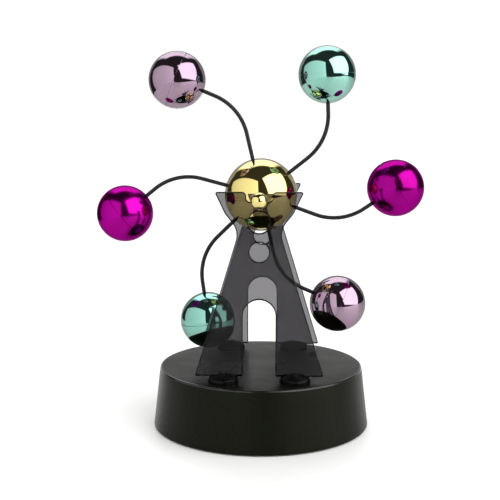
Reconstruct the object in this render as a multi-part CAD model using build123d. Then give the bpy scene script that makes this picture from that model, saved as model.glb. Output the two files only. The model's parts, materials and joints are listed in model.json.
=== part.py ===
"""Magnetic desk mobile: a six-ball rotor on two acrylic towers, above a round battery base.

Millimetres. +Z is up, +Y points to the rear, and the origin is on the resting surface,
under the middle of the base. The rotor turns about a horizontal axle along Y.
"""
import os
from math import cos, radians, sin, tan

from build123d import *

# Two lengths closer than this are taken as equal
SAME = 0.01

# Base
BASE_BOTTOM_R = 55.0
BASE_TOP_R = 51.6
BASE_TOP_Z = 30.6
FOOT_PROUD = 0.6
WALL = 2.4
DECK = 2.2
RIM_FILLET = 1.0
COVER_THICKNESS = 2.0
COVER_GAP = 0.15
COVER_RECESS = 0.9
FOOT_RING_R = 46.5
FOOT_R = 5.0
FOOT_THICKNESS = 1.6
FOOT_EDGE_R = 0.3
FOOT_ANGLES = (38, 142, 218, 322)

# Cover screws, in posts under the deck
SCREW_POST_RING_R = 41.0
SCREW_POST_R = 3.6
COVER_SCREW_ANGLES = (0, 180, 270)
COVER_SCREW_R = 1.1
COVER_SCREW_BITE = 8.0
COVER_PILOT_DEPTH = 10.0
COVER_SCREW_HOLE_R = 1.6
COVER_HEAD_R = 2.7
COVER_HEAD_HEIGHT = 1.0
COVER_HEAD_RECESS_R = 3.0
CROSS_LENGTH = 3.4
CROSS_WIDTH = 0.6
CROSS_DEPTH = 0.5

# Battery bay: a standard 9 V block lies on its broad side behind the coil
BATTERY_SIZE = (48.5, 26.5, 17.5)
BATTERY_X = 1.5
BATTERY_Y = 27.6
BATTERY_CORNER_R = 2.0
BATTERY_REST = 0.4
TERMINAL_PITCH = 12.7
TERMINAL_R = 2.9
TERMINAL_HEIGHT = 1.2
SNAP_SIZE = (1.6, 22.0, 11.0)
DOOR_Y = 28.6
DOOR_SIZE = (56.0, 29.0)
DOOR_CORNER_R = 1.5
DOOR_GAP = 0.3
DOOR_PIN_R = 0.6
DOOR_PIN_REACH = 2.0
DOOR_PIN_CLEARANCE = 0.05
DOOR_PIN_END_PLAY = 0.2
LATCH_SIZE = (10.0, 1.2, 3.0)
LATCH_INSET = 0.6
GRIP_GROOVE = (14.0, 0.7, 0.8)
GRIP_GROOVES = 4
GRIP_PITCH = 1.6
GRIP_INSET = 3.5
FENCE_THICKNESS = 1.2
FENCE_HEIGHT = 8.0
FENCE_REAR_Y = 40.0

# Coil and circuit
COIL_CORE_R = 3.0
COIL_HUB_R = 4.4
COIL_FLANGE_R = 13.0
COIL_HEIGHT = 14.0
COIL_FLANGE = 1.2
COIL_SEAT_WALL = 1.0
COIL_SEAT_HEIGHT = 2.0
WINDING_R = 12.0
BOARD_SIZE = (40.0, 17.0, 1.6)
BOARD_Y = -26.8
BOARD_Z = 12.0
BOARD_CORNER_R = 1.0
BOARD_POST_R = 2.4
BOARD_POST_X = 17.0
CAPACITOR_X = -12.0
CAPACITOR_R = 3.0
CAPACITOR_HEIGHT = 9.0
SMALL_PARTS_X = 1.0
SMALL_PARTS_REACH = 4.0
RESISTOR_SIZE = (6.0, 2.2, 2.2)
DIODE_SIZE = (5.0, 2.0, 2.0)
TRANSISTOR_X = 13.0
TRANSISTOR_R = 2.4
TRANSISTOR_HEIGHT = 5.0
TRANSISTOR_FLAT = 1.4

# Towers
TOWER_Y = 35.0
TOWER_THICKNESS = 3.0
TOWER_BOTTOM_Z = 33.3
TOWER_TOP_Z = 121.6
TOWER_FOOT_HALF = 30.9
TOWER_TOP_HALF = 21.0
NECK = (11.1, 98.5)
SHOULDER = (12.8, 107.2)
KNEE = (16.1, 111.3)
KNEE_R = 4.0
ARCH_HALF = 7.8
ARCH_TOP_Z = 70.4
LOWER_HOLE = (93.1, 4.65)
UPPER_HOLE = (107.3, 5.15)
NOTCH_TOP_HALF = 8.2
NOTCH_FLOOR_HALF = 4.2
NOTCH_FLOOR_Z = 116.9
CORNER_R = 0.8

# Tower bosses
BOSS_X = 17.2
BOSS_R = 7.5
BOSS_TOP_Z = 34.9
BOSS_SIDE = 2.1
BOSS_SHOULDER_FILLET = 0.7
BOSS_PIN_R = 2.6
BOSS_SCREW_R = 1.0
BOSS_SCREW_BITE = 1.5
BOSS_SCREW_HEAD_R = 3.2
BOSS_SCREW_HEAD_HEIGHT = 1.4

# Rotor
AXLE_R = 0.9
RUNNING_CLEARANCE = 0.02
AXLE_Z = NOTCH_FLOOR_Z + AXLE_R + RUNNING_CLEARANCE
END_BALL_R = 4.0
END_BALL_Y = 41.0
HUB_R = 18.3
HUB_WALL = 1.4
CORE_R = 8.0
CORE_HALF = 5.0
ARM_R = 1.0
ARM_ROOT = 4.0
ARM_LEAD_IN = 23.0
ARM_LEAD_OUT = 31.0
ARM_BEND_R = 27.0
BALL_RING_R = 69.0
BALL_R = 14.25
BALL_WALL = 1.4
SEAM_LIP_OUTSIDE = 0.65
SEAM_LIP_INSIDE = 0.4
SEAM_LIP_HEIGHT = 1.6
SOCKET_R = 2.4
SOCKET_DEPTH = 6.0
MAGNET_R = 4.0
MAGNET_THICKNESS = 3.0
CUP_WALL = 1.0
CUP_DEPTH = 4.5
ROOT_BITE = 0.2

# Each arm is bent by hand, so the balls stand a little off an even spacing and an even reach
FIRST_BALL_ANGLE = 5.0
BALL_SPACING = 60.0
BALL_ANGLE_ERRORS = (-2.0, -3.7, 1.3, 3.0, 2.2, 0.2)
BALL_REACH_ERRORS = (-1.5, -1.1, 1.8, 0.8, 0.8, -1.1)
BALL_ANGLES = [FIRST_BALL_ANGLE + BALL_SPACING * i + e for i, e in enumerate(BALL_ANGLE_ERRORS)]
BALL_REACHES = [BALL_RING_R + e for e in BALL_REACH_ERRORS]


def save(shape, name):
    """Write one named piece."""
    shape.label = name
    export_step(shape, f"parts/{name}.step")


def rod(radius, low, high, x=0.0, y=0.0):
    """Upright cylinder between two heights."""
    return Pos(x, y, (low + high) / 2) * Cylinder(radius, high - low)


def block(size, centre):
    """Box of a given size about a centre."""
    return Pos(*centre) * Box(*size)


def on_ring(radius, degrees):
    """Point on a circle about the base's axis."""
    return radius * cos(radians(degrees)), radius * sin(radians(degrees))


def side_radius(z):
    """Outer radius of the tapered base wall at a height."""
    share = (z - FOOT_PROUD) / (BASE_TOP_Z - FOOT_PROUD)
    return BASE_BOTTOM_R + share * (BASE_TOP_R - BASE_BOTTOM_R)


# ---------------------------------------------------------------- base

COVER_LOW = FOOT_PROUD + COVER_RECESS
COVER_HIGH = COVER_LOW + COVER_THICKNESS
CEILING_Z = BASE_TOP_Z - DECK
COIL_TOP = CEILING_Z - COIL_SEAT_HEIGHT
COIL_LOW = COIL_TOP - COIL_HEIGHT
BATTERY_LOW = COVER_HIGH + BATTERY_REST
BATTERY_MIDDLE_Z = BATTERY_LOW + BATTERY_SIZE[2] / 2
BATTERY_END_X = BATTERY_X - BATTERY_SIZE[0] / 2
BOARD_TOP = BOARD_Z + BOARD_SIZE[2]
COVER_R = side_radius(COVER_HIGH) - WALL - COVER_GAP
DOOR_FRONT_Y = DOOR_Y - DOOR_SIZE[1] / 2
DOOR_HINGE_Y = DOOR_FRONT_Y + DOOR_GAP + COVER_THICKNESS / 2
DOOR_HINGE_Z = (COVER_LOW + COVER_HIGH) / 2


def base_housing():
    """Tapered shell, open below, with posts for the cover screws and the tower bosses."""
    wall = Polyline(
        (0, BASE_TOP_Z),
        (BASE_TOP_R, BASE_TOP_Z),
        (BASE_BOTTOM_R, FOOT_PROUD),
        (BASE_BOTTOM_R - WALL, FOOT_PROUD),
        (side_radius(CEILING_Z) - WALL, CEILING_Z),
        (0, CEILING_Z),
        close=True,
    )
    shell = revolve(Plane.XZ * make_face(wall), Axis.Z)
    rim = shell.edges().filter_by(GeomType.CIRCLE).group_by(Axis.Z)[-1]
    shell = fillet(rim, RIM_FILLET)
    for angle in COVER_SCREW_ANGLES:
        x, y = on_ring(SCREW_POST_RING_R, angle)
        shell += rod(SCREW_POST_R, COVER_HIGH, CEILING_Z, x, y)
        shell -= rod(COVER_SCREW_R, COVER_HIGH, COVER_HIGH + COVER_PILOT_DEPTH, x, y)
    for x, y in boss_places():
        shell -= rod(BOSS_PIN_R, CEILING_Z, BASE_TOP_Z, x, y)
    return shell + rod(COIL_HUB_R + COIL_SEAT_WALL, COIL_TOP, CEILING_Z)


def base_bottom_cover():
    """Disc that closes the base: door opening, screw holes, foot recesses and board posts."""
    cover = rod(COVER_R, COVER_LOW, COVER_HIGH)
    opening = (DOOR_SIZE[0], DOOR_SIZE[1], 4 * COVER_THICKNESS)
    cover -= block(opening, (0, DOOR_Y, COVER_LOW))
    for angle in COVER_SCREW_ANGLES:
        x, y = on_ring(SCREW_POST_RING_R, angle)
        cover -= rod(COVER_SCREW_HOLE_R, COVER_LOW, COVER_HIGH, x, y)
        cover -= rod(COVER_HEAD_RECESS_R, COVER_LOW, COVER_LOW + COVER_HEAD_HEIGHT, x, y)
    for angle in FOOT_ANGLES:
        x, y = on_ring(FOOT_RING_R, angle)
        cover -= rod(FOOT_R, COVER_LOW, FOOT_THICKNESS, x, y)
    for x in (-BOARD_POST_X, BOARD_POST_X):
        cover += rod(BOARD_POST_R, COVER_HIGH, BOARD_Z, x, BOARD_Y)
    cover += battery_fence()
    return cover - door_pins(DOOR_PIN_R + DOOR_PIN_CLEARANCE, DOOR_PIN_REACH + DOOR_PIN_END_PLAY)


def battery_fence():
    """Low walls on three sides of the battery bay."""
    middle_z = COVER_HIGH + FENCE_HEIGHT / 2
    long = FENCE_REAR_Y - DOOR_FRONT_Y
    side_x = (DOOR_SIZE[0] + FENCE_THICKNESS) / 2
    side = (FENCE_THICKNESS, long, FENCE_HEIGHT)
    front = (DOOR_SIZE[0] + 2 * FENCE_THICKNESS, FENCE_THICKNESS, FENCE_HEIGHT)
    fence = block(front, (0, DOOR_FRONT_Y - FENCE_THICKNESS / 2, middle_z))
    for x in (-side_x, side_x):
        fence += block(side, (x, DOOR_FRONT_Y + long / 2, middle_z))
    return fence


def door_pins(radius, reach):
    """The two stub pins at the door's front edge, as one bar across the opening."""
    bar = Cylinder(radius, DOOR_SIZE[0] + 2 * reach)
    return Pos(0, DOOR_HINGE_Y, DOOR_HINGE_Z) * Rot(0, 90, 0) * bar


def cover_screws():
    """Three pan-head screws that hold the bottom cover."""
    screws = []
    for angle in COVER_SCREW_ANGLES:
        x, y = on_ring(SCREW_POST_RING_R, angle)
        screw = rod(COVER_HEAD_R, COVER_LOW, COVER_LOW + COVER_HEAD_HEIGHT, x, y)
        screw += rod(COVER_SCREW_R, COVER_LOW, COVER_HIGH + COVER_SCREW_BITE, x, y)
        screw -= block((CROSS_LENGTH, CROSS_WIDTH, 2 * CROSS_DEPTH), (x, y, COVER_LOW))
        screw -= block((CROSS_WIDTH, CROSS_LENGTH, 2 * CROSS_DEPTH), (x, y, COVER_LOW))
        screws.append(screw)
    return Compound(children=screws)


def battery_door():
    """Lid over the battery bay: it swings down about its front edge and latches at the rear."""
    width = DOOR_SIZE[0] - 2 * DOOR_GAP
    rear_y = DOOR_FRONT_Y + DOOR_SIZE[1] - DOOR_GAP
    depth = rear_y - DOOR_HINGE_Y
    door = block((width, depth, COVER_THICKNESS), (0, rear_y - depth / 2, DOOR_HINGE_Z))
    corners = door.edges().filter_by(Axis.Z).group_by(Axis.Y)[-1]
    door = fillet(corners, DOOR_CORNER_R)
    barrel = Cylinder(COVER_THICKNESS / 2, width)
    door += Pos(0, DOOR_HINGE_Y, DOOR_HINGE_Z) * Rot(0, 90, 0) * barrel
    door += door_pins(DOOR_PIN_R, DOOR_PIN_REACH)
    latch_y = rear_y - LATCH_INSET - LATCH_SIZE[1] / 2
    door += block(LATCH_SIZE, (0, latch_y, COVER_HIGH + LATCH_SIZE[2] / 2))
    for step in range(GRIP_GROOVES):
        door -= block(GRIP_GROOVE, (0, rear_y - GRIP_INSET - GRIP_PITCH * step, COVER_LOW))
    return door


def rubber_foot(angle):
    """Self-adhesive pad set in the cover's recess."""
    x, y = on_ring(FOOT_RING_R, angle)
    foot = rod(FOOT_R, 0, FOOT_THICKNESS, x, y)
    return fillet(foot.edges().group_by(Axis.Z)[0], FOOT_EDGE_R)


def battery():
    """9 V block with its two snap terminals at the -X end."""
    body = block(BATTERY_SIZE, (BATTERY_X, BATTERY_Y, BATTERY_MIDDLE_Z))
    body = fillet(body.edges().filter_by(Axis.X), BATTERY_CORNER_R)
    terminal = Rot(0, 90, 0) * Cylinder(TERMINAL_R, TERMINAL_HEIGHT)
    for side in (-1, 1):
        y = BATTERY_Y + side * TERMINAL_PITCH / 2
        body += Pos(BATTERY_END_X - TERMINAL_HEIGHT / 2, y, BATTERY_MIDDLE_Z) * terminal
    return body


def battery_snap():
    """Snap connector strip that presses on the two terminals."""
    x = BATTERY_END_X - TERMINAL_HEIGHT - SNAP_SIZE[0] / 2
    return block(SNAP_SIZE, (x, BATTERY_Y, BATTERY_MIDDLE_Z))


def circuit_board():
    """Driver board on two posts of the bottom cover."""
    board = block(BOARD_SIZE, (0, BOARD_Y, BOARD_Z + BOARD_SIZE[2] / 2))
    return fillet(board.edges().filter_by(Axis.Z), BOARD_CORNER_R)


def board_components():
    """Capacitor, resistor and diode on the driver board."""
    capacitor = rod(CAPACITOR_R, BOARD_TOP, BOARD_TOP + CAPACITOR_HEIGHT, CAPACITOR_X, BOARD_Y)
    parts = [capacitor]
    for side, size in ((-1, RESISTOR_SIZE), (1, DIODE_SIZE)):
        y = BOARD_Y + side * SMALL_PARTS_REACH
        parts.append(block(size, (SMALL_PARTS_X, y, BOARD_TOP + size[2] / 2)))
    return Compound(children=parts)


def drive_transistor():
    """Flat-sided transistor that switches the coil."""
    body = rod(TRANSISTOR_R, BOARD_TOP, BOARD_TOP + TRANSISTOR_HEIGHT, TRANSISTOR_X, BOARD_Y)
    width = 2 * TRANSISTOR_R
    spot = (TRANSISTOR_X, BOARD_Y - TRANSISTOR_FLAT - width / 2, BOARD_TOP + TRANSISTOR_HEIGHT / 2)
    return body - block((width, width, TRANSISTOR_HEIGHT), spot)


def coil_bobbin():
    """Flanged spool under the middle of the deck."""
    spool = rod(COIL_HUB_R, COIL_LOW, COIL_TOP)
    spool += rod(COIL_FLANGE_R, COIL_LOW, COIL_LOW + COIL_FLANGE)
    spool += rod(COIL_FLANGE_R, COIL_TOP - COIL_FLANGE, COIL_TOP)
    return spool - rod(COIL_CORE_R, COIL_LOW, COIL_TOP)


def coil_winding():
    """Copper winding that fills the spool."""
    low = COIL_LOW + COIL_FLANGE
    high = COIL_TOP - COIL_FLANGE
    return rod(WINDING_R, low, high) - rod(COIL_HUB_R, low, high)


def coil_core():
    """Soft iron core."""
    return rod(COIL_CORE_R, COIL_LOW, COIL_TOP)


# -------------------------------------------------------------- towers

def boss_places():
    """Centres of the four bosses on the deck."""
    return [(sx * BOSS_X, sy * TOWER_Y) for sy in (-1, 1) for sx in (-1, 1)]


def tower_boss(x, y):
    """Domed round boss with a slot that grips one leg and a pin through the deck."""
    shoulder_z = BASE_TOP_Z + BOSS_SIDE
    rise = BOSS_TOP_Z - shoulder_z
    crown_r = (BOSS_R**2 + rise**2) / (2 * rise)
    boss = rod(BOSS_R, BASE_TOP_Z, BOSS_TOP_Z, x, y)
    boss &= Pos(x, y, BOSS_TOP_Z - crown_r) * Sphere(crown_r)
    shoulder = boss.edges().filter_by(GeomType.CIRCLE)
    shoulder = shoulder.filter_by(lambda edge: edge.bounding_box().size.Z < SAME)
    boss = fillet(shoulder.sort_by(Axis.Z)[-1], BOSS_SHOULDER_FILLET)
    boss += rod(BOSS_PIN_R, CEILING_Z, BASE_TOP_Z, x, y)
    boss -= rod(BOSS_SCREW_R, CEILING_Z, BASE_TOP_Z + BOSS_SCREW_BITE, x, y)
    slot = (4 * BOSS_R, TOWER_THICKNESS, 2 * (BOSS_TOP_Z - TOWER_BOTTOM_Z))
    return boss - block(slot, (x, y, BOSS_TOP_Z))


def boss_screws():
    """Four screws that hold the bosses from inside the base."""
    screws = []
    for x, y in boss_places():
        screw = rod(BOSS_SCREW_R, CEILING_Z, BASE_TOP_Z + BOSS_SCREW_BITE, x, y)
        screw += rod(BOSS_SCREW_HEAD_R, CEILING_Z - BOSS_SCREW_HEAD_HEIGHT, CEILING_Z, x, y)
        screws.append(screw)
    return Compound(children=screws)


def tower_outline():
    """Right half of a tower's outline in X and Z, from the notch's floor to the arch's crown."""
    middle_notch = ((NOTCH_TOP_HALF + NOTCH_FLOOR_HALF) / 2, (TOWER_TOP_Z + NOTCH_FLOOR_Z) / 2)
    notch_floor = Line((0, NOTCH_FLOOR_Z), (NOTCH_FLOOR_HALF, NOTCH_FLOOR_Z))
    notch_low = TangentArc((NOTCH_FLOOR_HALF, NOTCH_FLOOR_Z), middle_notch, tangent=(1, 0))
    notch_high = TangentArc(middle_notch, (NOTCH_TOP_HALF, TOWER_TOP_Z), tangent=notch_low % 1)
    top = Line((NOTCH_TOP_HALF, TOWER_TOP_Z), (TOWER_TOP_HALF, TOWER_TOP_Z))
    leg_direction = (NECK[0] - TOWER_FOOT_HALF, NECK[1] - TOWER_BOTTOM_Z)
    waist = TangentArc(NECK, SHOULDER, tangent=leg_direction)
    shoulder = Line(SHOULDER, KNEE)
    horn = Line(KNEE, (TOWER_TOP_HALF, TOWER_TOP_Z))
    leg = Line(NECK, (TOWER_FOOT_HALF, TOWER_BOTTOM_Z))
    foot = Line((TOWER_FOOT_HALF, TOWER_BOTTOM_Z), (ARCH_HALF, TOWER_BOTTOM_Z))
    inner = Line((ARCH_HALF, TOWER_BOTTOM_Z), (ARCH_HALF, ARCH_TOP_Z - ARCH_HALF))
    arch = TangentArc((ARCH_HALF, ARCH_TOP_Z - ARCH_HALF), (0, ARCH_TOP_Z), tangent=(0, 1))
    spine = Line((0, ARCH_TOP_Z), (0, NOTCH_FLOOR_Z))
    side = [horn, shoulder, waist, leg]
    return [notch_floor, notch_low, notch_high, top, *side, foot, inner, arch, spine]


def corners_at(plate, spots):
    """Edges through the plate's thickness at some points of its outline, on both sides."""
    edges = []
    for edge in plate.edges().filter_by(Axis.Y):
        middle = edge.center()
        for x, z in spots:
            if abs(abs(middle.X) - x) < SAME and abs(middle.Z - z) < SAME:
                edges.append(edge)
    return edges


def tower_plate(y):
    """A-shaped acrylic plate with two round holes, standing at one side of the rotor."""
    half = make_face(tower_outline())
    face = half + mirror(half, Plane.YZ)
    for z, radius in (LOWER_HOLE, UPPER_HOLE):
        face -= Pos(0, z) * Circle(radius)
    plate = extrude(Plane.XZ * face, TOWER_THICKNESS / 2, both=True)
    plate = fillet(corners_at(plate, (KNEE,)), KNEE_R)
    foot_corners = ((TOWER_FOOT_HALF, TOWER_BOTTOM_Z), (ARCH_HALF, TOWER_BOTTOM_Z))
    plate = fillet(corners_at(plate, ((TOWER_TOP_HALF, TOWER_TOP_Z), *foot_corners)), CORNER_R)
    return Pos(0, y, 0) * plate


# --------------------------------------------------------------- rotor

BALL_INNER_R = BALL_R - BALL_WALL
MAGNET_LOW = BALL_INNER_R - CUP_DEPTH


def in_rotor(radius, degrees):
    """Point in the rotor's plane, from a radius and an angle about the axle."""
    turn = radians(degrees)
    return Vector(radius * cos(turn), 0, AXLE_Z + radius * sin(turn))


def direction(degrees):
    """Unit direction in the rotor's plane."""
    turn = radians(degrees)
    return Vector(cos(turn), 0, sin(turn))


def sphere_at(centre, radius):
    """Ball about a point."""
    return Location(centre) * Sphere(radius)


def arm(angle, reach):
    """Bent wire from the hub's core to the socket in the ball at this angle and reach."""
    out_of_hub = direction(angle - ARM_LEAD_IN)
    into_ball = direction(angle + ARM_LEAD_OUT)
    start = in_rotor(ARM_ROOT, angle - ARM_LEAD_IN)
    turn = radians(ARM_LEAD_IN + ARM_LEAD_OUT)
    corner = in_rotor(reach * sin(radians(ARM_LEAD_OUT)) / sin(turn), angle - ARM_LEAD_IN)
    trim = ARM_BEND_R * tan(turn / 2)
    end = in_rotor(reach, angle) - into_ball * (BALL_R - BALL_WALL - SOCKET_DEPTH)
    bend_start = corner - out_of_hub * trim
    bend_end = corner + into_ball * trim
    bend = TangentArc(bend_start, bend_end, tangent=out_of_hub)
    path = Line(start, bend_start) + bend + Line(bend_end, end)
    section = Plane(origin=start, z_dir=out_of_hub) * Circle(ARM_R)
    return sweep(section, path=path)


def ball_frame(angle, reach):
    """Plane of a ball's seam: at its centre, facing along the arm as it enters the ball."""
    return Plane(origin=in_rotor(reach, angle), z_dir=direction(angle + ARM_LEAD_OUT))


def half_ball(outer, inner):
    """Hollow half ball above its own seam plane."""
    whole = Sphere(outer) - Sphere(inner)
    side = 3 * outer
    return whole & block((side, side, side), (0, 0, side / 2))


def ball_outer_shell():
    """Far half: it has the lip that locates the two halves, and a cup for the magnet."""
    shell = half_ball(BALL_R, BALL_INNER_R)
    lip = rod(BALL_INNER_R + SEAM_LIP_OUTSIDE, -SEAM_LIP_HEIGHT, 0)
    lip -= rod(BALL_INNER_R - SEAM_LIP_INSIDE, -SEAM_LIP_HEIGHT, 0)
    shell += lip
    cup = rod(MAGNET_R + CUP_WALL, MAGNET_LOW, BALL_INNER_R) & Sphere(BALL_INNER_R + ROOT_BITE)
    shell += cup
    return shell - ball_magnet()


def ball_inner_shell():
    """Near half: it is recessed for the lip and has the socket that takes the arm."""
    shell = Rot(180, 0, 0) * half_ball(BALL_R, BALL_INNER_R)
    socket_end = SOCKET_DEPTH - BALL_INNER_R
    shell += rod(SOCKET_R, -BALL_INNER_R - ROOT_BITE, socket_end)
    shell -= rod(BALL_INNER_R + SEAM_LIP_OUTSIDE, -SEAM_LIP_HEIGHT, 0)
    return shell - rod(ARM_R, -2 * BALL_R, socket_end)


def ball_magnet():
    """Disc magnet in the cup of the far half."""
    return rod(MAGNET_R, MAGNET_LOW, MAGNET_LOW + MAGNET_THICKNESS)


def hub_shell(side, arms):
    """One half of the gold hub; the arms leave through holes on the joint line."""
    shell = half_ball(HUB_R, HUB_R - HUB_WALL)
    shell -= rod(AXLE_R, 0, 2 * HUB_R)
    turned = Plane(origin=(0, 0, AXLE_Z), z_dir=(0, side, 0)) * shell
    for wire in arms:
        turned -= wire
    return turned


def along_axle(radius, low, high):
    """Cylinder on the axle's line between two Y positions."""
    middle = (low + high) / 2
    return Pos(0, middle, AXLE_Z) * Rot(90, 0, 0) * Cylinder(radius, high - low)


def hub_core(arms):
    """Boss inside the hub, pressed on the axle, that holds the roots of the six arms."""
    core = along_axle(CORE_R, -CORE_HALF, CORE_HALF) - along_axle(AXLE_R, -CORE_HALF, CORE_HALF)
    for wire in arms:
        core -= wire
    return core


def axle():
    """Plain steel axle that rests on the floors of the two notches."""
    return along_axle(AXLE_R, -END_BALL_Y, END_BALL_Y)


def end_ball(side):
    """Gold stop ball on one end of the axle."""
    ball = sphere_at(Vector(0, side * END_BALL_Y, AXLE_Z), END_BALL_R)
    return ball - axle()


# --------------------------------------------------------------- write

def main():
    os.makedirs("parts", exist_ok=True)
    save(base_housing(), "base_housing")
    save(base_bottom_cover(), "base_bottom_cover")
    save(cover_screws(), "cover_screws")
    save(battery_door(), "battery_door")
    save(battery(), "battery")
    save(battery_snap(), "battery_snap")
    save(circuit_board(), "circuit_board")
    save(board_components(), "board_components")
    save(drive_transistor(), "drive_transistor")
    save(coil_bobbin(), "coil_bobbin")
    save(coil_winding(), "coil_winding")
    save(coil_core(), "coil_core")
    for number, angle in enumerate(FOOT_ANGLES, 1):
        save(rubber_foot(angle), f"rubber_foot_{number}")
    for (x, y), name in zip(boss_places(), ("front_left", "front_right", "rear_left", "rear_right")):
        save(tower_boss(x, y), f"tower_boss_{name}")
    save(boss_screws(), "boss_screws")
    save(tower_plate(-TOWER_Y), "front_tower_plate")
    save(tower_plate(TOWER_Y), "rear_tower_plate")

    arms = [arm(angle, reach) for angle, reach in zip(BALL_ANGLES, BALL_REACHES)]
    save(axle(), "axle")
    save(hub_core(arms), "hub_core")
    save(hub_shell(-1, arms), "hub_front_shell")
    save(hub_shell(1, arms), "hub_rear_shell")
    save(end_ball(-1), "front_end_ball")
    save(end_ball(1), "rear_end_ball")
    for number, wire in enumerate(arms, 1):
        seam = ball_frame(BALL_ANGLES[number - 1], BALL_REACHES[number - 1])
        save(wire, f"arm_{number}")
        save(seam * ball_inner_shell(), f"ball_{number}_inner_shell")
        save(seam * ball_outer_shell(), f"ball_{number}_outer_shell")
        save(seam * ball_magnet(), f"ball_{number}_magnet")


main()
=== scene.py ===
"""Looks of the magnetic desk mobile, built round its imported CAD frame.

Metres, +Z up. The camera's side of the object is -Y, and the rotor turns about the axle along Y.
"""
import json
from math import atan2, cos, degrees, pi, radians, sin, sqrt, tan

import bmesh
import bpy
from mathutils import Matrix, Vector


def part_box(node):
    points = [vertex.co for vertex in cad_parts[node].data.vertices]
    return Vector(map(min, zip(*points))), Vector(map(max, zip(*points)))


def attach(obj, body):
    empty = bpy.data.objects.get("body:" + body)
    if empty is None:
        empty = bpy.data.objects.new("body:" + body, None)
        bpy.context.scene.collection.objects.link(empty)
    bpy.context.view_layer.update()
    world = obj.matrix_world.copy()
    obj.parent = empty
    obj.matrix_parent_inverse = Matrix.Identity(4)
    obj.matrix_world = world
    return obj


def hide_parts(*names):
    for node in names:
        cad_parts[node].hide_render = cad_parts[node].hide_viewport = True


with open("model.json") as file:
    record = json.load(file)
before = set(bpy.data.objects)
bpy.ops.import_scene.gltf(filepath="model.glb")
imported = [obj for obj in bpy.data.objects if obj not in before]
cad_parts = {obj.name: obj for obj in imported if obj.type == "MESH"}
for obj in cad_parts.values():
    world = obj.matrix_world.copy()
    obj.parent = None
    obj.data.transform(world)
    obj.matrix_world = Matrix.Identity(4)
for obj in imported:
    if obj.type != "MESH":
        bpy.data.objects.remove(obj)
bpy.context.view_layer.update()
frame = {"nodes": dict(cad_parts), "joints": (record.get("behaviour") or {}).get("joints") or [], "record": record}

MM = 0.001

# Camera, fitted to the object's foreshortening; lens and sensor in millimetres
CAMERA_PLACE = Vector((11.35, -476.3, 152.45)) * MM
CAMERA_AIM = Vector((-5.6, 0.0, 89.6)) * MM
CAMERA_LENS = 68.05
CAMERA_SENSOR = 36.0
CAMERA_NEAREST = 10.0 * MM

# Table top as the mirrors see it, and the floor that other rays see, in metres
TABLE_X = (-0.42, 2.2)
TABLE_Y = (-0.8, 2.4)
FLOOR_HALF_WIDTH = 6.0

# Light of the studio: what no panel covers, the part of the panels' light and the even
# light that reach matt surfaces, and the plain room seen by the camera and through glass
AMBIENT = 0.06
BOUNCE_SHARE = 0.28
BOUNCE_EVEN = 1.02
ROOM_WHITE = 1.05

# Sizes that the frame's boxes can't give
BASE_TAPER = 3.4 * MM
BASE_FOOT_SOFTENING = 0.35 * MM
RIM_R = 1.0 * MM
SKIRT_WALL = 2.4 * MM
DECK = 2.2 * MM
FOOT_EDGE_R = 0.5 * MM
BOSS_SIDE = 2.1 * MM
BOSS_EDGE_R = 0.5 * MM
BOSS_ABOVE_DECK = 0.01 * MM
BOSS_HEM_IN = 0.1 * MM
BOSS_HEM_UP = 0.12 * MM
SLOT_FLOOR_Z = 33.3 * MM
PLATE_EDGE_R = 0.46 * MM
SHELL = 1.4 * MM
SEAM_HALF_WIDTH = 0.16 * MM
SEAM_DEPTH = 0.5 * MM
SEAM_FLOOR_HALF_WIDTH = 0.8 * SEAM_HALF_WIDTH
AXLE_EDGE = 0.2 * MM
END_BALL_BORE_SHARE = 0.9

# Arms: how far round each ball is from its arm's root, the bend in the wire, and the ends'
# distances from the axle and from the ball's centre
ARM_LEAD_IN = radians(23.0)
ARM_BEND_R = 27.0 * MM
ARM_ROOT_R = 4.0 * MM
ARM_TIP_R = 8.0 * MM

# Outline of the right half of a tower, X across and Z up, and its holes, in millimetres
NOTCH_START = (4.2, 116.9)
NOTCH_MIDDLE = (6.2, 119.25)
NOTCH_END = (8.2, 121.6)
HORN_TOP = (21.0, 121.6)
KNEE = (16.1, 111.3)
SHOULDER = (12.8, 107.2)
NECK = (11.1, 98.5)
FOOT_OUTER = (30.9, 33.3)
FOOT_INNER = (7.8, 33.3)
ARCH_SPRING = (7.8, 62.6)
ARCH_CROWN = (0.0, 70.4)
CORNER_R = 0.8
KNEE_R = 4.0
HOLES = ({"z": 93.1, "radius": 4.65}, {"z": 107.3, "radius": 5.15})

# How finely meshes are divided, what counts as on the axis, as one point and as a plate's
# broad face, and the angle past which an edge is sharp
TURNED_STEPS = 96
EDGE_STEPS = 6
RUN_STEPS = 12
CROWN_STEPS = 16
ARM_RUN_STEPS = 10
ARM_BEND_STEPS = 32
HOLE_STEPS = 64
ON_AXIS = 1e-9
SAME_POINT = 1e-6
BROAD_FACE = 0.999
SHARP = radians(30)
SHARP_ON_PLATE = radians(20)
SHARP_ON_WIRE = radians(50)

UP = Vector((0, 0, 1))
REARWARD = Vector((0, 1, 0))
ROTOR_SIDES = ((-1, "front"), (1, "rear"))
BALL_COLOURS = ("magenta", "teal", "lilac", "magenta", "teal", "lilac")


# ------------------------------------------------------------ materials

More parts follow.
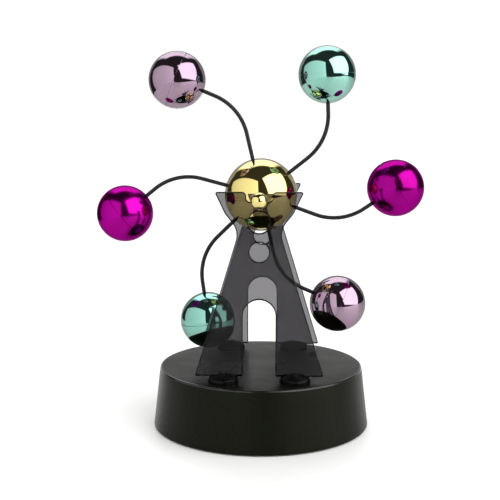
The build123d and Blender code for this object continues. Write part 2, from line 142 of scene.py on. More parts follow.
class Surface:
    """A procedural material, built up one property at a time."""

    def __init__(self, name, colour, roughness, metallic=0.0, **sockets):
        self.material = bpy.data.materials.new(name)
        self.material.use_nodes = True
        self.tree = self.material.node_tree
        self.shader = self.tree.nodes["Principled BSDF"]
        self.shader.inputs["Base Color"].default_value = (*colour, 1.0)
        self.shader.inputs["Roughness"].default_value = roughness
        self.shader.inputs["Metallic"].default_value = metallic
        for socket, value in sockets.items():
            self.shader.inputs[socket.replace("_", " ")].default_value = value
        self.colour = colour
        self.place = self.tree.nodes.new("ShaderNodeTexCoord").outputs["Object"]
        self.normal = None

    def noise(self, scale, detail, stretch=(1, 1, 1), distortion=0.0):
        """Noise on the object's own coordinates; scale is in features per metre."""
        mapping = self.tree.nodes.new("ShaderNodeMapping")
        mapping.inputs["Scale"].default_value = stretch
        self.tree.links.new(self.place, mapping.inputs["Vector"])
        noise = self.tree.nodes.new("ShaderNodeTexNoise")
        noise.inputs["Scale"].default_value = scale
        noise.inputs["Detail"].default_value = detail
        noise.inputs["Distortion"].default_value = distortion
        self.tree.links.new(mapping.outputs["Vector"], noise.inputs["Vector"])
        return noise.outputs["Fac"]

    def spread(self, value, low, high, start=0.35, end=0.65):
        """A value between two limits, from a noise."""
        ranged = self.tree.nodes.new("ShaderNodeMapRange")
        ranged.inputs["From Min"].default_value = start
        ranged.inputs["From Max"].default_value = end
        ranged.inputs["To Min"].default_value = low
        ranged.inputs["To Max"].default_value = high
        self.tree.links.new(value, ranged.inputs["Value"])
        return ranged.outputs["Result"]

    def bump(self, height, depth, strength=1.0):
        """Relief of a depth in metres, laid over any relief already there."""
        bump = self.tree.nodes.new("ShaderNodeBump")
        bump.inputs["Strength"].default_value = strength
        bump.inputs["Distance"].default_value = depth
        self.tree.links.new(height, bump.inputs["Height"])
        if self.normal:
            self.tree.links.new(self.normal, bump.inputs["Normal"])
        self.normal = bump.outputs["Normal"]
        self.tree.links.new(self.normal, self.shader.inputs["Normal"])

    def rough(self, value, low, high):
        """Roughness that varies with a noise."""
        self.tree.links.new(self.spread(value, low, high), self.shader.inputs["Roughness"])

    def mottle(self, value, other, start=0.4, end=0.7):
        """Colour that drifts towards another with a noise."""
        mix = self.tree.nodes.new("ShaderNodeMix")
        mix.data_type = "RGBA"
        mix.inputs["A"].default_value = (*self.colour, 1.0)
        mix.inputs["B"].default_value = (*other, 1.0)
        self.tree.links.new(self.spread(value, 0.0, 1.0, start, end), mix.inputs["Factor"])
        self.tree.links.new(mix.outputs["Result"], self.shader.inputs["Base Color"])


def moulded(name, colour, roughness, grain_scale=2600, grain_depth=0.012 * MM):
    """Moulded plastic: a fine spark texture, handling marks and a little dust."""
    dusty = tuple(c + 0.02 for c in colour)
    surface = Surface(name, colour, roughness, IOR=1.5)
    surface.bump(surface.noise(grain_scale, detail=3.0), grain_depth)
    marks = surface.noise(70, detail=6.0, stretch=(1, 1, 0.3))
    surface.rough(marks, low=roughness - 0.07, high=roughness + 0.09)
    surface.mottle(surface.noise(900, detail=8.0), dusty, start=0.56, end=0.78)
    return surface.material


def metallised(name, colour, shade, rim, lacquer=0.8, haze=0.015):
    """Vacuum-metallised plastic: a tinted mirror under clear lacquer, with waviness and hairlines.

    The colour drifts towards the shade, and the rim tints what is mirrored at the very edge.
    """
    surface = Surface(name, colour, haze, metallic=1.0, Specular_Tint=(*rim, 1.0))
    surface.shader.inputs["Coat Weight"].default_value = lacquer
    surface.shader.inputs["Coat Roughness"].default_value = haze
    surface.shader.inputs["Coat IOR"].default_value = 1.6
    surface.mottle(surface.noise(45, detail=2.0), shade, start=0.35, end=0.75)
    surface.rough(surface.noise(420, detail=8.0), low=haze, high=0.02 + 1.3 * haze)
    surface.bump(surface.noise(75, detail=1.0), 0.05 * MM, strength=0.25)
    surface.bump(surface.noise(900, detail=2.0, stretch=(1, 6, 1), distortion=0.4), 0.0001 * MM)
    return surface.material


def drawn_metal(name, colour, roughness, stretch=(1, 1, 1)):
    """Turned, drawn or plated metal; a stretch under 1 along an axis draws its lines that way."""
    surface = Surface(name, colour, roughness, metallic=1.0)
    lines = surface.noise(1500, detail=5.0, stretch=stretch)
    surface.rough(lines, low=roughness - 0.06, high=roughness + 0.1)
    surface.bump(surface.noise(4000, detail=2.0, stretch=stretch), 0.003 * MM)
    surface.mottle(surface.noise(500, detail=6.0), tuple(c * 0.8 for c in colour))
    return surface.material


def coated_wire():
    """Black coated wire: a slightly uneven skin and gloss."""
    surface = Surface("wire_coating", (0.0035, 0.0042, 0.0035), 0.32, IOR=1.32)
    surface.bump(surface.noise(350, detail=3.0), 0.05 * MM, strength=0.6)
    surface.rough(surface.noise(600, detail=6.0), low=0.26, high=0.44)
    surface.mottle(surface.noise(700, detail=6.0), (0.012, 0.013, 0.012))
    return surface.material


def smoke_acrylic():
    """Clear acrylic with a warm smoke tint that deepens with the path through it."""
    surface = Surface("smoke_acrylic", (1.0, 1.0, 1.0), 0.015, IOR=1.49, Transmission_Weight=1.0)
    surface.shader.inputs["Specular Tint"].default_value = (0.35, 0.35, 0.35, 1.0)
    surface.rough(surface.noise(260, detail=7.0, stretch=(1, 1, 4)), low=0.008, high=0.035)
    surface.bump(surface.noise(55, detail=1.5), 0.004 * MM, strength=0.4)
    tint = surface.tree.nodes.new("ShaderNodeVolumeAbsorption")
    tint.inputs["Color"].default_value = (0.205, 0.19, 0.22, 1.0)
    tint.inputs["Density"].default_value = 650.0
    output = surface.tree.nodes["Material Output"]
    surface.tree.links.new(tint.outputs["Volume"], output.inputs["Volume"])
    return surface.material


def painted_shade_edge():
    """Laser-cut edge of the acrylic, made an opaque near-black surface: painted shade for the dark outline that
    refraction gives the clear edge, over the real darkening along the plate's smoke tint.
    """
    surface = Surface("acrylic_edge_painted_shade", (0.004, 0.0036, 0.0044), 0.22, IOR=1.12)
    surface.bump(surface.noise(500, detail=3.0, stretch=(1, 8, 1)), 0.01 * MM)
    surface.rough(surface.noise(700, detail=5.0, stretch=(1, 6, 1)), low=0.15, high=0.35)
    surface.mottle(surface.noise(400, detail=4.0), (0.016, 0.0145, 0.017), start=0.5, end=0.8)
    return surface.material


def base_plastic():
    """Satin black moulding of the base: spark grain, soft upright flow marks and dust."""
    surface = Surface("base_plastic", (0.0030, 0.0034, 0.0018), 0.30, IOR=1.172)
    surface.shader.inputs["Specular Tint"].default_value = (0.96, 1.0, 0.84, 1.0)
    surface.bump(surface.noise(2400, detail=3.0), 0.004 * MM)
    surface.rough(surface.noise(55, detail=5.0, stretch=(1, 1, 0.2)), low=0.25, high=0.36)
    surface.mottle(surface.noise(1100, detail=8.0), (0.0085, 0.0095, 0.0065), start=0.55, end=0.8)
    return surface.material


def polished_rim():
    """Rounded rim of the base, rubbed shinier than the faces beside it."""
    surface = Surface("base_rim", (0.004, 0.005, 0.004), 0.16, IOR=1.42)
    surface.bump(surface.noise(2400, detail=3.0), 0.003 * MM)
    surface.rough(surface.noise(90, detail=5.0), low=0.12, high=0.26)
    surface.mottle(surface.noise(300, detail=6.0), (0.016, 0.018, 0.016), start=0.5, end=0.8)
    return surface.material


def gloss_black():
    """Polished black moulding of the bosses."""
    surface = Surface("gloss_black", (0.002, 0.002, 0.0023), 0.12, IOR=1.2)
    surface.bump(surface.noise(160, detail=2.0), 0.25 * MM, strength=0.6)
    surface.rough(surface.noise(500, detail=7.0), low=0.07, high=0.16)
    surface.mottle(surface.noise(1200, detail=7.0), (0.007, 0.007, 0.008), start=0.55, end=0.8)
    return surface.material


def rubber():
    """Soft black rubber with a powdery bloom."""
    surface = Surface("foot_rubber", (0.020, 0.020, 0.020), 0.75)
    surface.bump(surface.noise(1800, detail=4.0), 0.03 * MM)
    surface.rough(surface.noise(300, detail=6.0), low=0.65, high=0.9)
    surface.mottle(surface.noise(500, detail=8.0), (0.05, 0.05, 0.048), start=0.5, end=0.8)
    return surface.material


def windings():
    """Enamelled copper wire laid in close rings."""
    surface = Surface("copper_winding", (0.72, 0.30, 0.12), 0.28, metallic=1.0)
    surface.bump(surface.noise(300, detail=1.0, stretch=(0.1, 0.1, 12)), 0.1 * MM)
    surface.rough(surface.noise(900, detail=4.0), low=0.2, high=0.4)
    surface.mottle(surface.noise(250, detail=4.0, stretch=(0.2, 0.2, 8)), (0.45, 0.16, 0.06))
    return surface.material


# A finish for each material slot of the record
MATERIALS = {
    "base_black": base_plastic(),
    "cover_black": moulded(
        "cover_plastic", (0.018, 0.018, 0.019), 0.55, grain_scale=1500, grain_depth=0.04 * MM
    ),
    "screw_steel": drawn_metal("screw_steel", (0.62, 0.61, 0.58), 0.3),
    "battery_can": moulded("battery_wrap", (0.10, 0.10, 0.12), 0.3, grain_scale=900),
    "snap_black": moulded("snap_vinyl", (0.03, 0.03, 0.03), 0.5),
    "board_green": moulded("solder_mask", (0.02, 0.16, 0.06), 0.3, grain_scale=1200),
    "component_dark": moulded("component_body", (0.03, 0.03, 0.035), 0.35),
    "bobbin_nylon": moulded("bobbin_nylon", (0.72, 0.68, 0.58), 0.45),
    "copper": windings(),
    "iron": drawn_metal("soft_iron", (0.30, 0.30, 0.31), 0.5),
    "foot_rubber": rubber(),
    "boss_black": gloss_black(),
    "smoke_acrylic": smoke_acrylic(),
    "axle_steel": drawn_metal("axle_steel", (0.40, 0.395, 0.385), 0.22, stretch=(1, 0.05, 1)),
    "hub_nylon": moulded("hub_nylon", (0.06, 0.06, 0.06), 0.5),
    "gold": metallised(
        "gold_mirror", (0.69, 0.58, 0.18), shade=(0.60, 0.47, 0.12), rim=(0.1, 0.09, 0.08)
    ),
    "wire_black": coated_wire(),
    "magenta": metallised(
        "magenta_mirror", (0.29, 0.001, 0.205), shade=(0.19, 0.001, 0.115), rim=(0.4, 0.2, 0.4),
        lacquer=0.02, haze=0.15,
    ),
    "teal": metallised(
        "teal_mirror", (0.19, 0.45, 0.365), shade=(0.13, 0.37, 0.31), rim=(0.1, 0.1, 0.1)
    ),
    "lilac": metallised(
        "lilac_mirror", (0.285, 0.175, 0.255), shade=(0.22, 0.135, 0.21), rim=(0.1, 0.1, 0.1)
    ),
    "magnet_nickel": drawn_metal("magnet_nickel", (0.72, 0.71, 0.69), 0.2),
}
# near-black material of the towers' cut edges: painted shade for their dark outline
PAINTED_SHADE_EDGE = painted_shade_edge()
RIM = polished_rim()


def paint_cad_nodes():
    """Gives every CAD node the material of its slot in the record."""
    slots = {part["node"]: part["material_slot"] for part in frame["record"]["subparts"]}
    for name, node in frame["nodes"].items():
        node.data.materials.clear()
        node.data.materials.append(MATERIALS[slots[name]])
        node.data.set_sharp_from_angle(angle=SHARP)


# --------------------------------------------------------------- meshes

def new_piece(name, vertices, faces, slot, sharp=SHARP):
    """Mesh object with smooth faces and sharp edges past an angle."""
    mesh = bpy.data.meshes.new(name)
    mesh.from_pydata([tuple(v) for v in vertices], [], faces)
    mesh.validate()
    mesh.update()
    mesh.shade_smooth()
    mesh.set_sharp_from_angle(angle=sharp)
    mesh.materials.append(MATERIALS[slot])
    piece = bpy.data.objects.new(name, mesh)
    bpy.context.scene.collection.objects.link(piece)
    return piece


def install(piece, body, node):
    """Makes a piece ride on a body and stand for a CAD node."""
    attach(piece, body)
    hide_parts(node)


def lathe(name, profile, slot, centre, axis, segments=TURNED_STEPS, closed=False):
    """Turns a profile of (radius, height) about an axis through a centre.

    A profile point on the axis becomes one vertex. A closed profile is a ring.
    """
    turn = UP.rotation_difference(axis).to_matrix()
    vertices = []
    rings = []
    for radius, height in profile:
        if radius < ON_AXIS:
            rings.append([len(vertices)])
            vertices.append(centre + turn @ Vector((0, 0, height)))
            continue
        start = len(vertices)
        for i in range(segments):
            a = 2 * pi * i / segments
            vertices.append(centre + turn @ Vector((radius * cos(a), radius * sin(a), height)))
        rings.append(list(range(start, start + segments)))
    faces = []
    pairs = list(zip(rings, rings[1:]))
    if closed:
        pairs.append((rings[-1], rings[0]))
    for low, high in pairs:
        for i in range(segments):
            j = (i + 1) % segments
            if len(low) == 1:
                faces.append((low[0], high[j], high[i]))
            elif len(high) == 1:
                faces.append((low[i], low[j], high[0]))
            else:
                faces.append((low[i], low[j], high[j], high[i]))
    return new_piece(name, vertices, faces, slot)


def arc(centre, radius, start, end, steps):
    """Points of an arc in a profile, between two angles in degrees."""
    points = []
    for i in range(steps + 1):
        a = radians(start + (end - start) * i / steps)
        points.append((centre[0] + radius * cos(a), centre[1] + radius * sin(a)))
    return points


def middle(*nodes):
    """Centre of the box round some CAD nodes, and its half size."""
    boxes = [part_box(node) for node in nodes]
    low = Vector([min(b[0][i] for b in boxes) for i in range(3)])
    high = Vector([max(b[1][i] for b in boxes) for i in range(3)])
    return (low + high) / 2, (high - low) / 2


# ----------------------------------------------------------------- base

def make_base():
    """Tapered shell with a rounded rim and a softened lower edge."""
    low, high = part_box("base_housing")
    foot_r = high.x
    top_r = foot_r - BASE_TAPER
    soften = BASE_FOOT_SOFTENING
    slope = degrees(atan2(high.z - low.z, foot_r - top_r))
    deck_steps = 7
    profile = [(0.0, high.z)]
    for step in range(1, deck_steps):
        profile.append(((top_r - RIM_R) * step / deck_steps, high.z))
    profile += arc((top_r - RIM_R, high.z - RIM_R), RIM_R, 90, 90 - slope, steps=10)
    for step in range(1, RUN_STEPS):
        share = step / RUN_STEPS
        z = high.z - RIM_R + share * (low.z - high.z + RIM_R + soften)
        profile.append((foot_r - (z - low.z) / (high.z - low.z) * (foot_r - top_r), z))
    profile += arc((foot_r - soften, low.z + soften), soften, 0, -90, steps=5)
    profile.append((foot_r - SKIRT_WALL, low.z))
    profile.append((top_r - SKIRT_WALL, high.z - DECK))
    profile.append((0.0, high.z - DECK))
    profile.reverse()
    piece = lathe("base_shell", profile, "base_black", Vector(), UP, segments=256)
    piece.data.materials.append(RIM)
    for face in piece.data.polygons:
        spot = face.center
        on_rim = spot.z > high.z - RIM_R and spot.xy.length > top_r - RIM_R
        face.material_index = 1 if on_rim else 0
    install(piece, "base", "base_housing")


def make_feet():
    """Four soft pads with rolled edges."""
    for number in range(1, 5):
        node = f"rubber_foot_{number}"
        centre, half = middle(node)
        edge_middle = (half.x - FOOT_EDGE_R, FOOT_EDGE_R - half.z)
        profile = [(0.0, -half.z)]
        profile += arc(edge_middle, FOOT_EDGE_R, -90, 0, EDGE_STEPS)
        profile += [(half.x, half.z), (0.0, half.z)]
        pad = lathe(f"foot_pad_{number}", profile, "foot_rubber", centre, UP, segments=48)
        install(pad, "base", node)


def cut(piece, cutter):
    """Takes one mesh out of another, and removes the cutter."""
    boolean = piece.modifiers.new("cut", "BOOLEAN")
    boolean.operation = "DIFFERENCE"
    boolean.solver = "EXACT"
    boolean.object = cutter
    bpy.context.view_layer.update()
    depsgraph = bpy.context.evaluated_depsgraph_get()
    result = bpy.data.meshes.new_from_object(piece.evaluated_get(depsgraph))
    piece.modifiers.clear()
    piece.data = result
    bpy.data.objects.remove(cutter)
    result.shade_smooth()
    result.set_sharp_from_angle(angle=SHARP)


def slab(name, low, high):
    """Plain block used only as a cutter."""
    corners = [(x, y, z) for x in (low.x, high.x) for y in (low.y, high.y) for z in (low.z, high.z)]
    faces = [(0, 1, 3, 2), (4, 6, 7, 5), (0, 4, 5, 1), (2, 3, 7, 6), (0, 2, 6, 4), (1, 5, 7, 3)]
    return new_piece(name, corners, faces, "boss_black")


def make_bosses():
    """Four gloss bosses: a low side, a domed crown, and a slot for the tower's leg."""
    deck_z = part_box("base_housing")[1].z
    for corner in ("front_left", "front_right", "rear_left", "rear_right"):
        node = f"tower_boss_{corner}"
        centre, half = middle(node)
        top_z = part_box(node)[1].z
        plate_low, plate_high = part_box(f"{corner.split('_')[0]}_tower_plate")
        radius = half.x
        rise = top_z - deck_z - BOSS_SIDE
        crown_r = (radius**2 + rise**2) / (2 * rise)
        foot_z = deck_z + BOSS_ABOVE_DECK
        crown_end = radius - BOSS_EDGE_R
        profile = [(0.0, foot_z), (radius - BOSS_HEM_IN, foot_z), (radius, deck_z + BOSS_HEM_UP)]
        edge_middle = (crown_end, deck_z + BOSS_SIDE - BOSS_EDGE_R)
        profile += arc(edge_middle, BOSS_EDGE_R, 0, 60, EDGE_STEPS)
        for step in range(CROWN_STEPS + 1):
            r = crown_end * (1 - step / CROWN_STEPS)
            profile.append((r, top_z - crown_r + sqrt(crown_r**2 - r**2)))
        place = Vector((centre.x, centre.y, 0))
        boss = lathe(f"boss_{corner}", profile, "boss_black", place, UP, segments=72)
        reach = Vector((2 * radius, 0, 0))
        slot_low = Vector((centre.x, plate_low.y, SLOT_FLOOR_Z)) - reach
        slot_high = Vector((centre.x, plate_high.y, top_z + radius)) + reach
        cut(boss, slab("slot_cutter", slot_low, slot_high))
        install(boss, "base", node)


# --------------------------------------------------------------- towers

def tangent_arc(start, end, heading, steps):
    """Points of the arc that leaves start along a heading, without the start itself.

    Returns the points and the heading at the end, both in the outline's plane.
    """
    chord = Vector((end[0] - start[0], end[1] - start[1]))
    heading = Vector(heading).normalized()
    turn = 2 * heading.angle_signed(chord)
    radius = chord.length / (2 * sin(turn / 2))
    side = Vector((heading.y, -heading.x))
    centre = Vector(start) + side * radius
    spoke = Vector(start) - centre
    points = []
    for i in range(1, steps + 1):
        points.append(tuple(centre + Matrix.Rotation(-turn * i / steps, 2) @ spoke))
    return points, Matrix.Rotation(-turn, 2) @ heading


def rounded(before, corner, after, radius):
    """Points of the arc that rounds a corner between two straight runs."""
    into = (Vector(before) - Vector(corner)).normalized()
    out = (Vector(after) - Vector(corner)).normalized()
    half = into.angle(out) / 2
    centre = Vector(corner) + (into + out).normalized() * radius / sin(half)
    spoke = Vector(corner) + into * radius / tan(half) - centre
    turn = (pi - 2 * half) * (1 if into.x * out.y > into.y * out.x else -1)
    points = []
    for i in range(EDGE_STEPS + 1):
        points.append(tuple(centre + Matrix.Rotation(-turn * i / EDGE_STEPS, 2) @ spoke))
    return points


def tower_half():
    """Right half of a tower's outline in millimetres, clockwise from the floor of the notch."""
    low, heading = tangent_arc(NOTCH_START, NOTCH_MIDDLE, (1, 0), steps=10)
    high, _ = tangent_arc(NOTCH_MIDDLE, NOTCH_END, heading, steps=10)
    points = [NOTCH_START, *low, *high]
    points += rounded(NOTCH_END, HORN_TOP, KNEE, CORNER_R)
    points += rounded(HORN_TOP, KNEE, SHOULDER, KNEE_R)
    leg = (NECK[0] - FOOT_OUTER[0], NECK[1] - FOOT_OUTER[1])
    waist, _ = tangent_arc(NECK, SHOULDER, leg, steps=16)
    points += [*reversed(waist), NECK]
    points += rounded(NECK, FOOT_OUTER, FOOT_INNER, CORNER_R)
    points += rounded(FOOT_OUTER, FOOT_INNER, ARCH_SPRING, CORNER_R)
    arch, _ = tangent_arc(ARCH_SPRING, ARCH_CROWN, (0, 1), steps=20)
    return [*points, ARCH_SPRING, *arch]


def tower_loops():
    """Outer outline and the two round holes of a tower, as closed loops in metres."""
    right = tower_half()
    left = [(-x, z) for x, z in reversed(right[:-1])]
    loops = [right + left]
    for hole in HOLES:
        loops.append(arc((0.0, hole["z"]), hole["radius"], 0, 360, HOLE_STEPS)[:-1])
    return [[(x * MM, z * MM) for x, z in loop] for loop in loops]


def make_tower(name, node):
    """Laser-cut acrylic plate with broken edges, filled between its outline and holes."""
    centre, half = middle(node)
    curve = bpy.data.curves.new(name, "CURVE")
    curve.dimensions = "2D"
    curve.fill_mode = "BOTH"
    curve.extrude = half.y - PLATE_EDGE_R
    curve.bevel_depth = PLATE_EDGE_R
    curve.bevel_resolution = 3
    curve.offset = -PLATE_EDGE_R
    for loop in tower_loops():
        spline = curve.splines.new("POLY")
        spline.points.add(len(loop) - 1)
        for point, (x, z) in zip(spline.points, loop):
            point.co = (x, z, 0.0, 1.0)
        spline.use_cyclic_u = True
    flat = bpy.data.objects.new(name, curve)
    bpy.context.scene.collection.objects.link(flat)
    bpy.context.view_layer.update()
    mesh = bpy.data.meshes.new_from_object(flat)
    bpy.data.objects.remove(flat)
    mesh.transform(Matrix.Rotation(pi / 2, 4, "X"))
    mesh.transform(Matrix.Translation((0, centre.y, 0)))
    weld(mesh)
    mesh.materials.clear()
    mesh.materials.append(MATERIALS["smoke_acrylic"])
    mesh.materials.append(PAINTED_SHADE_EDGE)
    # faces off the broad flats are the cut edges and take the near-black material, painted shade for their dark
    # outline
    for face in mesh.polygons:
        broad = abs(face.normal.y) > BROAD_FACE
        face.use_smooth = not broad
        face.material_index = 0 if broad else 1
    plate = bpy.data.objects.new(name, mesh)
    bpy.context.scene.collection.objects.link(plate)
    install(plate, "base", node)


def weld(mesh):
    """Joins coincident points into one closed skin, sharp where the flats end."""
    work = bmesh.new()
    work.from_mesh(mesh)
    bmesh.ops.remove_doubles(work, verts=work.verts, dist=SAME_POINT)
    bmesh.ops.recalc_face_normals(work, faces=work.faces)
    work.to_mesh(mesh)
    work.free()
    mesh.shade_smooth()
    mesh.set_sharp_from_angle(angle=SHARP_ON_PLATE)


# ---------------------------------------------------------------- rotor

AXLE = Vector(next(j["pos_m"] for j in frame["joints"] if j["name"] == "rotor_spin"))


def half_shell(radius, hole, rings=30):
    """Profile of a hollow half ball from its pole to its seam and back inside."""
    inner = radius - SHELL
    seam = degrees(SEAM_HALF_WIDTH / radius)
    outside = arc((0, 0), radius, 90 - degrees(hole / radius), seam, rings)
    inside = arc((0, 0), inner, 0, 90 - degrees(hole / inner), rings // 2)
    groove = [(radius - SEAM_DEPTH, SEAM_FLOOR_HALF_WIDTH), (radius - SEAM_DEPTH, 0.0)]
    profile = outside + groove + inside
    if hole == 0.0:
        profile[0] = (0.0, radius)
        profile[-1] = (0.0, inner)
    return profile


def make_balls():
    """Six metallised balls, each of two shells that meet at a fine seam."""
    for number, colour in enumerate(BALL_COLOURS, 1):
        inner_node = f"ball_{number}_inner_shell"
        outer_node = f"ball_{number}_outer_shell"
        centre, half = middle(inner_node, outer_node)
        radius = half.y
        outward = (middle(f"ball_{number}_magnet")[0] - centre).normalized()
        arm_r = middle(f"arm_{number}")[1].y
        far_profile = half_shell(radius, 0.0)[::-1]
        far = lathe(f"ball_{number}_far_half", far_profile, colour, centre, outward)
        near_profile = half_shell(radius, arm_r)[::-1]
        name = f"ball_{number}_near_half"
        near = lathe(name, near_profile, colour, centre, -outward, closed=True)
        install(far, "rotor", outer_node)
        install(near, "rotor", inner_node)


def make_hub():
    """Gold hub of two half shells that meet in the rotor's plane."""
    bore = middle("axle")[1].x
    for side, word in ROTOR_SIDES:
        node = f"hub_{word}_shell"
        radius = middle(node)[1].x
        profile = half_shell(radius, bore, rings=40)[::-1]
        name = f"hub_{word}_half"
        shell = lathe(name, profile, "gold", AXLE, side * REARWARD, segments=144, closed=True)
        install(shell, "rotor", node)


def make_end_balls():
    """Gold balls on the ends of the axle, each bored to its centre on the inner side."""
    bore = middle("axle")[1].x
    for side, word in ROTOR_SIDES:
        node = f"{word}_end_ball"
        radius = middle(node)[1].x
        centre = Vector((0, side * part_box("axle")[1].y, AXLE.z))
        mouth = degrees(bore / radius)
        profile = [(0.0, radius)] + arc((0, 0), radius, 88, -90 + mouth, steps=44)
        profile += [(bore, -radius * END_BALL_BORE_SHARE), (bore, 0.0), (0.0, 0.0)]
        name = f"end_ball_{word}"
        ball = lathe(name, profile[::-1], "gold", centre, side * REARWARD, segments=72)
        install(ball, "rotor", node)


def make_axle():
    """Ground axle with broken ends."""
    centre, half = middle("axle")
    narrow = half.x - AXLE_EDGE
    profile = [(0.0, -half.y), (narrow, -half.y), (half.x, AXLE_EDGE - half.y)]
    for step in range(1, RUN_STEPS):
        profile.append((half.x, -half.y + 2 * half.y * step / RUN_STEPS))
    profile += [(half.x, half.y - AXLE_EDGE), (narrow, half.y), (0.0, half.y)]
    rod = lathe("axle_rod", profile, "axle_steel", centre, REARWARD, segments=40)
    install(rod, "rotor", "axle")


def arm_path(centre, outward):
    """Middle line of one wire: a radial run, one bend, and a run into the ball."""
    ball_angle = atan2(centre.z - AXLE.z, centre.x - AXLE.x)
    lead = ball_angle - ARM_LEAD_IN
    start_way = Vector((cos(lead), 0, sin(lead)))
    turn = start_way.angle(outward)
    reach_out = (centre - AXLE).length * sin(turn - ARM_LEAD_IN) / sin(turn)
    corner = AXLE + start_way * reach_out
    trim = ARM_BEND_R * tan(turn / 2)
    bend_start = corner - start_way * trim
    bend_centre = bend_start + Vector((-start_way.z, 0, start_way.x)) * ARM_BEND_R
    root = AXLE + start_way * ARM_ROOT_R
    tip = centre - outward * ARM_TIP_R
    points = [root.lerp(bend_start, i / ARM_RUN_STEPS) for i in range(ARM_RUN_STEPS)]
    for i in range(ARM_BEND_STEPS + 1):
        swing = Matrix.Rotation(-turn * i / ARM_BEND_STEPS, 3, "Y")
        points.append(bend_centre + swing @ (bend_start - bend_centre))
    bend_end = points[-1]
    points += [bend_end.lerp(tip, i / ARM_RUN_STEPS) for i in range(1, ARM_RUN_STEPS + 1)]
    return points


def tube(name, points, radius, slot, sides=24):
    """Round tube along a path in the rotor's plane, with closed ends."""
    vertices = []
    for i, point in enumerate(points):
        way = (points[min(i + 1, len(points) - 1)] - points[max(i - 1, 0)]).normalized()
        outer = way.cross(REARWARD)
        for k in range(sides):
            a = 2 * pi * k / sides
            vertices.append(point + radius * (cos(a) * outer + sin(a) * REARWARD))
    faces = []
    for i in range(len(points) - 1):
        for k in range(sides):
            a, b = i * sides + k, i * sides + (k + 1) % sides
            faces.append((a, a + sides, b + sides, b))
    faces.append(tuple(range(sides)))
    faces.append(tuple(range((len(points) - 1) * sides, len(points) * sides))[::-1])
    return new_piece(name, vertices, faces, slot, SHARP_ON_WIRE)


def make_arms():
    """Six bent wires from the hub to the balls."""
    for number in range(1, 7):
        node = f"arm_{number}"
        centre = middle(f"ball_{number}_inner_shell", f"ball_{number}_outer_shell")[0]
        outward = (middle(f"ball_{number}_magnet")[0] - centre).normalized()
        path = arm_path(centre, outward)
        wire = tube(f"arm_wire_{number}", path, middle(node)[1].y, "wire_black")
        install(wire, "rotor", node)


# --------------------------------------------------------------- studio

def maths(tree, operation, *values):
    """Output of a math node; each value is a number or another node's output."""
    node = tree.nodes.new("ShaderNodeMath")
    node.operation = operation
    for socket, value in zip(node.inputs, values):
        if isinstance(value, (int, float)):
            socket.default_value = value
        else:
            tree.links.new(value, socket)
    return node.outputs["Value"]


def along(tree, way, vector):
    """How far a direction of the sky goes along a vector."""
    node = tree.nodes.new("ShaderNodeVectorMath")
    node.operation = "DOT_PRODUCT"
    node.inputs[1].default_value = vector
    tree.links.new(way, node.inputs[0])
    return node.outputs["Value"]


def panel(tree, way, azimuth, elevation, half_width, half_height, level, soft, roll=0, slope=0.0):
    """Light of a flat studio panel, as seen in a direction of the sky.

    The panel is centred on an azimuth, from the camera's side towards +X, and an elevation,
    and is rolled about its own centre. Its half sizes, and the softness of its edges, are
    tangents of angles. Slope makes it brighter towards its right end, as a share of its level.
    """
    a, e = radians(azimuth), radians(elevation)
    facing = Vector((sin(a) * cos(e), -cos(a) * cos(e), sin(e)))
    across = Vector((cos(a), sin(a), 0))
    upward = across.cross(facing)
    upward *= 1 if upward.z > 0 else -1
    tilt = Matrix.Rotation(radians(roll), 3, facing)
    across = tilt @ across
    upward = tilt @ upward
    just_in_front = 0.02
    depth = maths(tree, "MAXIMUM", along(tree, way, facing), just_in_front)
    aside = maths(tree, "DIVIDE", along(tree, way, across), depth)
    light = maths(tree, "ADD", maths(tree, "MULTIPLY", aside, slope * level), level)
    for vector, half in ((across, half_width), (upward, half_height)):
        offset = maths(tree, "DIVIDE", along(tree, way, vector), depth)
        inside = tree.nodes.new("ShaderNodeMapRange")
        inside.interpolation_type = "SMOOTHSTEP"
        inside.inputs["From Min"].default_value = half - soft
        inside.inputs["From Max"].default_value = half + soft
        inside.inputs["To Min"].default_value = 1.0
        inside.inputs["To Max"].default_value = 0.0
        tree.links.new(maths(tree, "ABSOLUTE", offset), inside.inputs["Value"])
        light = maths(tree, "MULTIPLY", light, inside.outputs["Result"])
    return light


def studio_light(tree):
    """Light of the whole studio in each direction: four soft panels in a dim room."""
    way = tree.nodes.new("ShaderNodeTexCoord").outputs["Generated"]
    left = panel(
        tree, way, azimuth=-58, elevation=6, half_width=1.2, half_height=0.9,
        level=1.72, soft=0.05, roll=16, slope=0.25,
    )
    right = panel(
        tree, way, azimuth=60, elevation=32.2, half_width=0.69, half_height=0.6,
        level=4.6, soft=0.06, roll=-8,
    )
    behind = panel(
        tree, way, azimuth=-172, elevation=51, half_width=0.5, half_height=0.364,
        level=3.6, soft=0.1,
    )
    cove = panel(
        tree, way, azimuth=180, elevation=10, half_width=1.0, half_height=0.45,
        level=0.8, soft=0.15,
    )
    front = maths(tree, "ADD", left, right)
    rear = maths(tree, "ADD", behind, cove)
    return maths(tree, "ADD", front, maths(tree, "ADD", rear, AMBIENT))


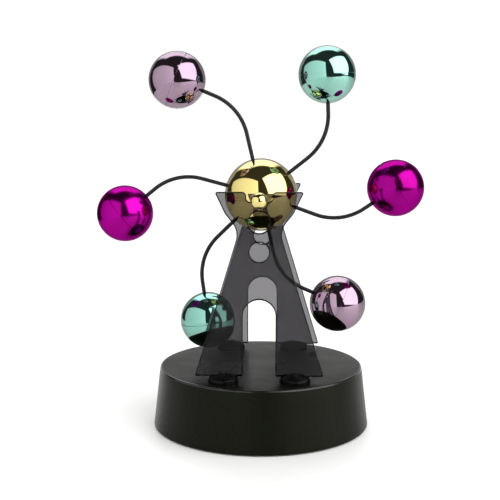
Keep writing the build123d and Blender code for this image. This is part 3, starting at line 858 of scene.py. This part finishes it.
def make_world():
    """The studio as mirrors see it, its bounce on matt surfaces, and the white room itself."""
    world = bpy.data.worlds.new("studio")
    bpy.context.scene.world = world
    world.use_nodes = True
    tree = world.node_tree
    tree.nodes.clear()
    rays = tree.nodes.new("ShaderNodeLightPath")
    light = studio_light(tree)
    bounce = maths(tree, "MULTIPLY_ADD", light, BOUNCE_SHARE, BOUNCE_EVEN)
    by_surface = tree.nodes.new("ShaderNodeMix")
    tree.links.new(rays.outputs["Is Diffuse Ray"], by_surface.inputs["Factor"])
    tree.links.new(light, by_surface.inputs["A"])
    tree.links.new(bounce, by_surface.inputs["B"])
    studio = tree.nodes.new("ShaderNodeBackground")
    tree.links.new(by_surface.outputs["Result"], studio.inputs["Strength"])
    # what is seen directly, or through the clear towers, is the plain white room
    room = tree.nodes.new("ShaderNodeBackground")
    room.inputs["Strength"].default_value = ROOM_WHITE
    room.inputs["Color"].default_value = (1, 1, 1, 1)
    straight = maths(
        tree, "MAXIMUM", rays.outputs["Is Camera Ray"], rays.outputs["Is Transmission Ray"]
    )
    seen = tree.nodes.new("ShaderNodeMixShader")
    tree.links.new(straight, seen.inputs[0])
    tree.links.new(studio.outputs[0], seen.inputs[1])
    tree.links.new(room.outputs[0], seen.inputs[2])
    output = tree.nodes.new("ShaderNodeOutputWorld")
    tree.links.new(seen.outputs[0], output.inputs["Surface"])


def end_at_table(surface):
    """Lets mirror reflections see the studio past the table that the object stands on."""
    tree = surface.tree
    place = tree.nodes.new("ShaderNodeSeparateXYZ")
    tree.links.new(surface.place, place.inputs["Vector"])
    inside = 1.0
    for axis, (low, high) in (("X", TABLE_X), ("Y", TABLE_Y)):
        above = maths(tree, "GREATER_THAN", place.outputs[axis], low)
        below = maths(tree, "LESS_THAN", place.outputs[axis], high)
        inside = maths(tree, "MULTIPLY", inside, maths(tree, "MULTIPLY", above, below))
    rays = tree.nodes.new("ShaderNodeLightPath")
    outside = maths(tree, "SUBTRACT", 1.0, inside)
    gone = maths(tree, "MULTIPLY", outside, rays.outputs["Is Glossy Ray"])
    clear = tree.nodes.new("ShaderNodeBsdfTransparent")
    mix = tree.nodes.new("ShaderNodeMixShader")
    tree.links.new(gone, mix.inputs[0])
    tree.links.new(surface.shader.outputs[0], mix.inputs[1])
    tree.links.new(clear.outputs[0], mix.inputs[2])
    tree.links.new(mix.outputs[0], tree.nodes["Material Output"].inputs["Surface"])


def make_floor():
    """Pale sheet, wide enough to reach past every view."""
    surface = Surface("pale_floor", (0.86, 0.86, 0.845), 0.35, IOR=1.4)
    surface.rough(surface.noise(30, detail=3.0), low=0.3, high=0.4)
    end_at_table(surface)
    w = FLOOR_HALF_WIDTH
    mesh = bpy.data.meshes.new("floor")
    mesh.from_pydata([(-w, -w, 0), (w, -w, 0), (w, w, 0), (-w, w, 0)], [], [(0, 1, 2, 3)])
    mesh.materials.append(surface.material)
    floor = bpy.data.objects.new("floor", mesh)
    bpy.context.scene.collection.objects.link(floor)


def make_camera():
    """Camera before the object, a little right of it and above the axle, looking slightly down."""
    data = bpy.data.cameras.new("camera")
    data.lens = CAMERA_LENS
    data.sensor_width = CAMERA_SENSOR
    data.clip_start = CAMERA_NEAREST
    camera = bpy.data.objects.new("camera", data)
    camera.location = CAMERA_PLACE
    camera.rotation_euler = (CAMERA_AIM - CAMERA_PLACE).to_track_quat("-Z", "Y").to_euler()
    bpy.context.scene.collection.objects.link(camera)
    bpy.context.scene.camera = camera


paint_cad_nodes()
make_base()
make_feet()
make_bosses()
make_tower("tower_front", "front_tower_plate")
make_tower("tower_rear", "rear_tower_plate")
make_balls()
make_hub()
make_end_balls()
make_axle()
make_arms()
make_world()
make_floor()
make_camera()
bpy.context.scene.view_settings.view_transform = "Standard"
